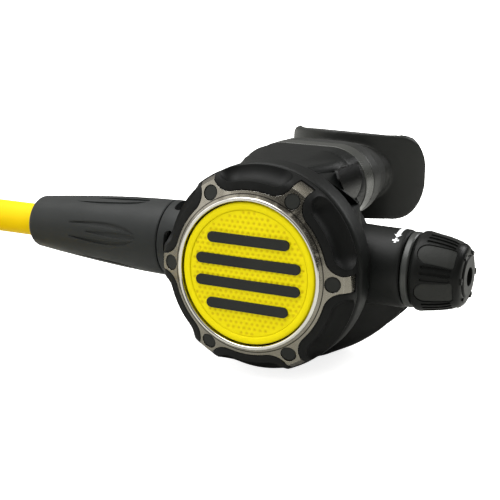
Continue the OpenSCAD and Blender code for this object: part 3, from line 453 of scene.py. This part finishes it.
def roundedCopy(nodeName, pieceName, edge):
    # The node's own shape with its sharp edges rounded off, as a mould or a polisher leaves them.
    # With edgeFinish the bevels have the second finish, and so have the faces inside lipReach.
    piece = mergedCopy(nodeName, pieceName, roundedFlat)
    if "reshape" in edge:
        edge["reshape"](piece.data)
    piece.data.materials.append(finishes[nodeFinish[nodeName]])
    if "edgeFinish" in edge:
        piece.data.materials.append(finishes[edge["edgeFinish"]])
    shadeByAngle(piece.data, edgeAngle)
    bevel = piece.modifiers.new("edges", "BEVEL")
    bevel.width = edge["width"] * mm
    bevel.segments = edge.get("segments", 2)
    bevel.limit_method = "ANGLE"
    bevel.angle_limit = math.radians(edgeAngle)
    bevel.harden_normals = True
    bevel.material = 1 if "edgeFinish" in edge else -1
    if "lipReach" in edge:
        corners = [(v.co - plugCentre) / mm for v in piece.data.vertices]
        reaches = [math.hypot(corner.x, corner.z) for corner in corners]
        for face in piece.data.polygons:
            if all(reaches[i] < edge["lipReach"] for i in face.vertices):
                face.material_index = 1
    standFor(piece, nodeName)
    return piece


def softCopy(nodeName, soft):
    # A moulding with soft edges: the node's shape remeshed evenly, then relaxed so that its
    # facets melt away
    piece = mergedCopy(nodeName, soft["piece"], softFlat)
    if "join" in soft:
        soft["join"](piece.data)
    piece.data.materials.append(finishes[nodeFinish[nodeName]])
    remesh = piece.modifiers.new("even", "REMESH")
    remesh.mode = "VOXEL"
    remesh.voxel_size = soft["voxelMm"] * mm
    mesh = applyModifiers(piece)
    shape = bmesh.new()
    shape.from_mesh(mesh)
    for factor in relaxPasses * soft["relax"]:
        bmesh.ops.smooth_vert(shape, verts=shape.verts, factor=factor,
                              use_axis_x=True, use_axis_y=True, use_axis_z=True)
    if "reshape" in soft:
        soft["reshape"](shape)
    shape.to_mesh(mesh)
    shape.free()
    shadeSmooth(mesh)
    standFor(piece, nodeName)


# ---- hose

hose = {
    "diameter": 12.7, "sleeveEnd": -107.5, "straight": 65.0,
    "inside": 7.0, "lead": (0, -10, -20, -30, -40, -52),
    "coilRadius": 55.5, "coilPitch": 14.9, "coilLayer": 13.6, "coilTurns": 2.25,
    "coilEase": 40.0, "coilSteps": 54, "fineness": 3, "coilZ": -32.15,
    "sinkFrom": 22.0, "sinkEase": 48.0, "sinkLength": 119.0,
    "tailLength": 36.0, "tailRise": 48.0, "endRise": 1.4, "roundness": 8,
}
coilStart = 90
coilMiddle = coilStart + 180 * hose["coilTurns"]


def coilAngle(step):
    return coilStart + 360 * hose["coilTurns"] * step / hose["coilSteps"]


def coilReach(angle):
    # Narrowest at coilMiddle, and a pitch wider with each turn away from there
    turned = math.hypot(angle - coilMiddle, hose["coilEase"]) - hose["coilEase"]
    return hose["coilRadius"] + hose["coilPitch"] * turned / 360


def coilPoint(step):
    angle = math.radians(coilAngle(step))
    reach = coilReach(coilAngle(step))
    return Vector((hose["sleeveEnd"] - hose["straight"] + reach * math.cos(angle),
                   barrelY - coilReach(coilStart) + reach * math.sin(angle)))


def eased(t):
    t = min(max(t, 0), 1)
    return t * t * (3 - 2 * t)


def sunk(s):
    # How far the hose has sunk towards the coil's upper layer, s along it: level, then an even
    # slope with an eased bend at each end, then level again
    depth = hose["coilZ"] + hose["coilLayer"]
    ease = hose["sinkEase"]
    slope = depth / (hose["sinkLength"] - ease)
    t = min(max(s - hose["sinkFrom"], 0), hose["sinkLength"])
    if t < ease:
        return slope * t * t / ease / 2
    if t < hose["sinkLength"] - ease:
        return slope * (t - ease / 2)
    return depth - slope * (hose["sinkLength"] - t) ** 2 / ease / 2


def hoseRoute():
    # Straight out of the protector, in round the upper layer of the coil, down to the lower one
    # where the coil is narrowest, out round that, then a straight tail to the fitting
    steps = [i / hose["fineness"] for i in range(hose["coilSteps"] * hose["fineness"] + 1)]
    places = [Vector((hose["sleeveEnd"] + x, barrelY)) for x in (hose["inside"], *hose["lead"])]
    drops = [0.0] * len(places)
    places += [coilPoint(step) for step in steps]
    drops += [hose["coilLayer"] * eased((coilAngle(step) - coilMiddle + 90) / 180)
              for step in steps]
    last = hose["coilSteps"]
    tail = (coilPoint(last + 0.1) - coilPoint(last - 0.1)).normalized()
    end = hose["tailLength"] - hose["diameter"]
    places += [coilPoint(last) + tail * x for x in (end / 2, end, hose["tailLength"])]
    drops += [hose["coilLayer"]] * 3
    lengths = [-hose["inside"]]
    for a, b in zip(places, places[1:]):
        lengths.append(lengths[-1] + (b - a).length)
    riseFrom = lengths[-1] - hose["diameter"] - hose["tailRise"]
    route = []
    for place, drop, s in zip(places, drops, lengths):
        rise = hose["endRise"] * eased((s - riseFrom) / hose["tailRise"])
        route.append(at(place.x, place.y, sunk(s) - drop + rise))
    return route


route = hoseRoute()
curve = bpy.data.curves.new("hoseJacket", "CURVE")
curve.dimensions = "3D"
curve.bevel_depth = hose["diameter"] / 2 * mm
curve.bevel_resolution = hose["roundness"]
curve.use_fill_caps = True
spline = curve.splines.new("POLY")
spline.points.add(len(route) - 1)
for point, place in zip(spline.points, route):
    point.co = (*place, 1)
spline.use_smooth = True
curve.materials.append(finishes["yellowHoseJacket"])
hoseJacket = newPiece("hoseJacket", curve)
hoseJacket.visible_glossy = False  # the bezel mirrors the room and not the coil beside the camera
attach(hoseJacket, "hose")
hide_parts("hose_run", "hose_coil")
hoseEnds = [roundedCopy("end_ferrule", "endFerruleDressed", {"width": 0.2}),
            roundedCopy("end_fitting", "endFittingDressed", {"width": 0.15})]

# ---- rigid pieces

rim = {"from": 23.4, "out": 0.36}
plate = {"grow": 1.06, "out": 0.25}


def fillRim(mesh):
    # Takes up part of the running gap round the button, as its soft edge does
    for v in mesh.vertices:
        local = (v.co - plugCentre) / mm
        reach = math.hypot(local.x, local.z)
        if reach > rim["from"]:
            v.co += Vector((local.x, 0, local.z)) / reach * rim["out"] * mm


def proudPlate(mesh):
    # The plate stands a little out of its seat and hides the seat's edge
    low = Vector([min(v.co[i] for v in mesh.vertices) for i in range(3)])
    high = Vector([max(v.co[i] for v in mesh.vertices) for i in range(3)])
    middle = (low + high) / 2
    for v in mesh.vertices:
        v.co.y = middle.y + (v.co.y - middle.y) * plate["grow"]
        v.co.z = middle.z + (v.co.z - middle.z) * plate["grow"]
        v.co.x += plate["out"] * mm


roundedEdges = {
    "housing": {"width": 0.3},
    "front_cover": {"width": 0.32, "segments": 3},
    "cover_bezel": {"width": 0.34, "edgeFinish": "polishedEdge", "lipReach": 27.4},
    "bezel_plugs": {"width": 0.2},
    "purge_button": {"width": 0.15, "reshape": fillRim},
    "button_bars": {"width": 0.15},
    "arm_collar": {"width": 0.2},
    "knob": {"width": 0.35, "segments": 3},
    "knob_pads": {"width": 0.25},
    "knob_cap": {"width": 0.25},
    "inlet_collar": {"width": 0.25},
    "hose_protector": {"width": 0.3},
    "mouthpiece_clamp": {"width": 0.3, "segments": 3},
    "side_plate": {"width": 0.3, "reshape": proudPlate},
    "diaphragm": {"width": 0.15},
    "exhaust_valve": {"width": 0.15},
}
for nodeName, edge in roundedEdges.items():
    first, *rest = nodeName.split("_")
    pieceName = first + "".join(word.capitalize() for word in rest) + "Dressed"
    roundedCopy(nodeName, pieceName, edge)
print("rigid pieces dressed")

# ---- soft pieces

# The bent lip flange as the node has it, with its corners cut in a flat view, and then the corners
# and the crown that the moulding gets. Its own frame is turned about a line at pivotY.
flange = {
    "turn": -4.5, "pivotY": 59.8, "centreY": 103.0, "middleZ": 23.0, "radius": 31.0,
    "angle": 68.0, "halfHeight": 16.5, "halfWall": 1.0, "cutCorner": 13.0, "cutLeft": 0.9,
    "reachIn": 3.0, "topCorner": 11.0, "lowCorner": 14.0, "crown": 3.4,
}
lipTube = {"half": 9.6, "inner": 8.3, "outer": 10.6, "from": 71.0, "middleZ": 24.0, "steps": 48}
flangeTurn = Matrix.Rotation(math.radians(flange["turn"]), 4, "Z")
flangePivot = at(0, flange["pivotY"], 0)


def cornerHeight(half, corner, over):
    return half - corner + math.sqrt(corner ** 2 - over ** 2)


def roundFlange(shape):
    # Lets the lip flange's top edge fall gently towards its ends, with smaller corners above
    # than below
    middle = at(0, 0, flange["middleZ"]).z
    radius = flange["radius"]
    flatEnd = radius * math.radians(flange["angle"])
    cutEnd = radius * math.sin(math.radians(flange["angle"])) + flange["halfWall"]
    cut = flange["cutCorner"]
    for v in shape.verts:
        local = (flangeTurn.inverted() @ (v.co - flangePivot)) / mm
        x, y = local.x, local.y + flange["pivotY"] - flange["centreY"]
        if math.hypot(x, y) < radius - flange["reachIn"] or y > 0:
            continue
        bend = math.atan2(abs(x), -y)
        over = min(max(radius * math.sin(bend) - cutEnd + cut, 0), cut - flange["cutLeft"])
        was = cornerHeight(flange["halfHeight"], cut, over)
        above = v.co.z > middle
        corner = flange["topCorner"] if above else flange["lowCorner"]
        over = min(max(radius * bend - flatEnd + corner, 0), corner)
        crown = flange["crown"] * (radius * bend / flatEnd) ** 2 if above else 0
        new = cornerHeight(flange["halfHeight"] - crown, corner, over)
        v.co.z = middle + (v.co.z - middle) * new / was


def closeLipSides(mesh):
    # Carries the silicone tube on from the sleeve to the bent flange, so that its sides close too
    shape = bmesh.new()
    shape.from_mesh(mesh)
    corners = (("outer", False), ("outer", True), ("inner", True), ("inner", False))
    rings = []
    for step in range(lipTube["steps"]):
        angle = 2 * math.pi * (step + 0.5) / lipTube["steps"]
        side = math.copysign(lipTube["half"], math.cos(angle))
        ring = []
        for wall, meets in corners:
            x = side + lipTube[wall] * math.cos(angle)
            z = lipTube["middleZ"] + lipTube[wall] * math.sin(angle)
            bend = math.sqrt((flange["radius"] - flange["halfWall"]) ** 2 - x * x)
            y = flange["centreY"] - bend if meets else lipTube["from"]
            place = flangeTurn @ Vector((x, y - flange["pivotY"], z))
            ring.append(shape.verts.new(flangePivot + place * mm))
        rings.append(ring)
    added = [shape.faces.new((a[i], a[i - 1], b[i - 1], b[i]))
             for a, b in zip(rings, rings[1:] + rings[:1]) for i in range(len(corners))]
    bmesh.ops.recalc_face_normals(shape, faces=added)
    shape.to_mesh(mesh)
    shape.free()


softParts = {
    "mouthpiece": {"piece": "mouthpieceSilicone", "voxelMm": 0.55, "relax": 14,
                   "join": closeLipSides, "reshape": roundFlange},
    "exhaust_tee": {"piece": "exhaustTeeRubber", "voxelMm": 0.55, "relax": 10},
}
for nodeName, soft in softParts.items():
    softCopy(nodeName, soft)
print("soft pieces relaxed")

# ---- springs: a smooth copy of each spring that a joint deforms by scaling

for joint in behaviour["joints"]:
    for given in joint.get("deforming_nodes", []):
        if not given["mode"].startswith("scale"):
            continue
        nodeName, letter = given["node"], given["mode"][-1]
        along = "xyz".index(letter)
        spring = mergedCopy(nodeName, nodeName.replace("_spring", "SpringWire"), softFlat)
        spring.data.materials.append(finishes[nodeFinish[nodeName]])
        shadeByAngle(spring.data, springEdgeAngle)
        standFor(spring, nodeName)
        low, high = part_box(nodeName)
        anchor = (low + high) / 2
        anchor[along] = given[f"fixed_end_{letter}_m"]
        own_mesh(spring)
print("springs wound")

# ---- marks on the knob's arm

# Angles are in degrees up from the arm's front
armMarks = {
    "x": 42.0, "radius": 13.56, "plusAt": 56.0, "plusHalf": 1.15, "bandFrom": 69.0,
    "bandTo": 118.0, "bandWidth": 1.5, "bandSteps": 14, "headReach": 1.7, "headHalf": 1.4,
}


def wrapRoundArm(shape, name):
    # Bends a flat print, x along the arm and y in millimetres up from the front, round the arm
    radius = armMarks["radius"]
    for v in shape.verts:
        turn = v.co.y / radius
        v.co = at(armMarks["x"] + v.co.x, barrelY - radius * math.cos(turn),
                  radius * math.sin(turn))
    bmesh.ops.recalc_face_normals(shape, faces=shape.faces)
    mesh = bpy.data.meshes.new(name)
    shape.to_mesh(mesh)
    shape.free()
    face = mesh.polygons[0]
    out = face.center - at(0, barrelY, 0)
    if face.normal.dot(Vector((0, out.y, out.z))) < 0:
        mesh.flip_normals()
    mesh.materials.append(finishes["padPrintWhite"])
    piece = newPiece(name, mesh)
    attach(piece, "case")


def makeArmMarks():
    # A plus sign, and a band with a point that shows which way the knob turns for more
    perDegree = math.radians(1) * armMarks["radius"]
    plus = bmesh.new()
    half = armMarks["plusHalf"]
    bmesh.ops.create_grid(plus, x_segments=3, y_segments=3, size=half)
    middles = [(face, face.calc_center_median()) for face in plus.faces]
    corners = [face for face, middle in middles if min(abs(middle.x), abs(middle.y)) > half / 3]
    bmesh.ops.delete(plus, geom=corners, context="FACES")
    bmesh.ops.translate(plus, verts=plus.verts, vec=(0, armMarks["plusAt"] * perDegree, 0))
    wrapRoundArm(plus, "armPlusPrint")
    arrow = bmesh.new()
    bmesh.ops.create_grid(arrow, x_segments=2, y_segments=armMarks["bandSteps"], size=0.5)
    base = armMarks["bandFrom"] * perDegree
    length = (armMarks["bandTo"] - armMarks["bandFrom"]) * perDegree
    bmesh.ops.scale(arrow, verts=arrow.verts, vec=(armMarks["bandWidth"], length, 1))
    bmesh.ops.translate(arrow, verts=arrow.verts, vec=(0, base + length / 2, 0))
    head = ((-armMarks["headHalf"], base), (armMarks["headHalf"], base),
            (0, base - armMarks["headReach"]))
    arrow.faces.new([arrow.verts.new((x, y, 0)) for x, y in head])
    wrapRoundArm(arrow, "armArrowPrint")


makeArmMarks()
print("arm marked")

# ---- purge button

dimples = {
    "pitch": 2.0, "radius": 0.85, "depth": 0.2, "roundness": 1.6, "edge": 0.6,
    "fieldRadius": 21.66, "cell": 0.16, "lift": 0.3, "middleY": -1.35, "rimY": -0.95,
}


def pitDepth(x, z):
    # 1 in the middle of a pit and 0 from its edge on. The pits stand in staggered rows.
    row = dimples["pitch"] * math.sqrt(3) / 2
    nearest = dimples["radius"]
    for j in (math.floor(z / row), math.floor(z / row) + 1):
        offset = (j % 2) * dimples["pitch"] / 2
        i = round((x - offset) / dimples["pitch"])
        centre = Vector((i * dimples["pitch"] + offset, j * row))
        if centre.length < dimples["fieldRadius"] - dimples["edge"]:
            nearest = min(nearest, (Vector((x, z)) - centre).length)
    return math.cos(nearest / dimples["radius"] * math.pi / 2) ** dimples["roundness"]


def makeDimpledField():
    # Rows of round pits on a shallow cone, one sheet over the button's own face
    fieldRadius = dimples["fieldRadius"]
    shape = bmesh.new()
    cells = round(2 * fieldRadius / dimples["cell"])
    bmesh.ops.create_grid(shape, x_segments=cells, y_segments=cells, size=fieldRadius)
    outside = [v for v in shape.verts if v.co.length > fieldRadius + dimples["cell"]]
    bmesh.ops.delete(shape, geom=outside, context="VERTS")
    # Each point keeps its pit depth, with which the finish paints shade into the pits
    pitLayer = shape.verts.layers.float.new("pit")
    for v in shape.verts:
        radius = v.co.length
        if radius > fieldRadius - dimples["cell"]:
            v.co *= fieldRadius / radius
        x, z = v.co.x, v.co.y
        pit = pitDepth(x, z)
        v[pitLayer] = pit
        cone = dimples["middleY"] + (dimples["rimY"] - dimples["middleY"]) * radius / fieldRadius
        v.co = at(x, cone - dimples["lift"] + pit * dimples["depth"], z)
    bmesh.ops.recalc_face_normals(shape, faces=shape.faces)
    mesh = bpy.data.meshes.new("buttonDimples")
    shape.to_mesh(mesh)
    shape.free()
    if mesh.polygons[0].normal.y > 0:
        mesh.flip_normals()
    shadeSmooth(mesh)
    mesh.materials.append(finishes["pittedUrethane"])
    piece = newPiece("buttonDimples", mesh)
    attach(piece, "purge")


makeDimpledField()
print("button dimpled")
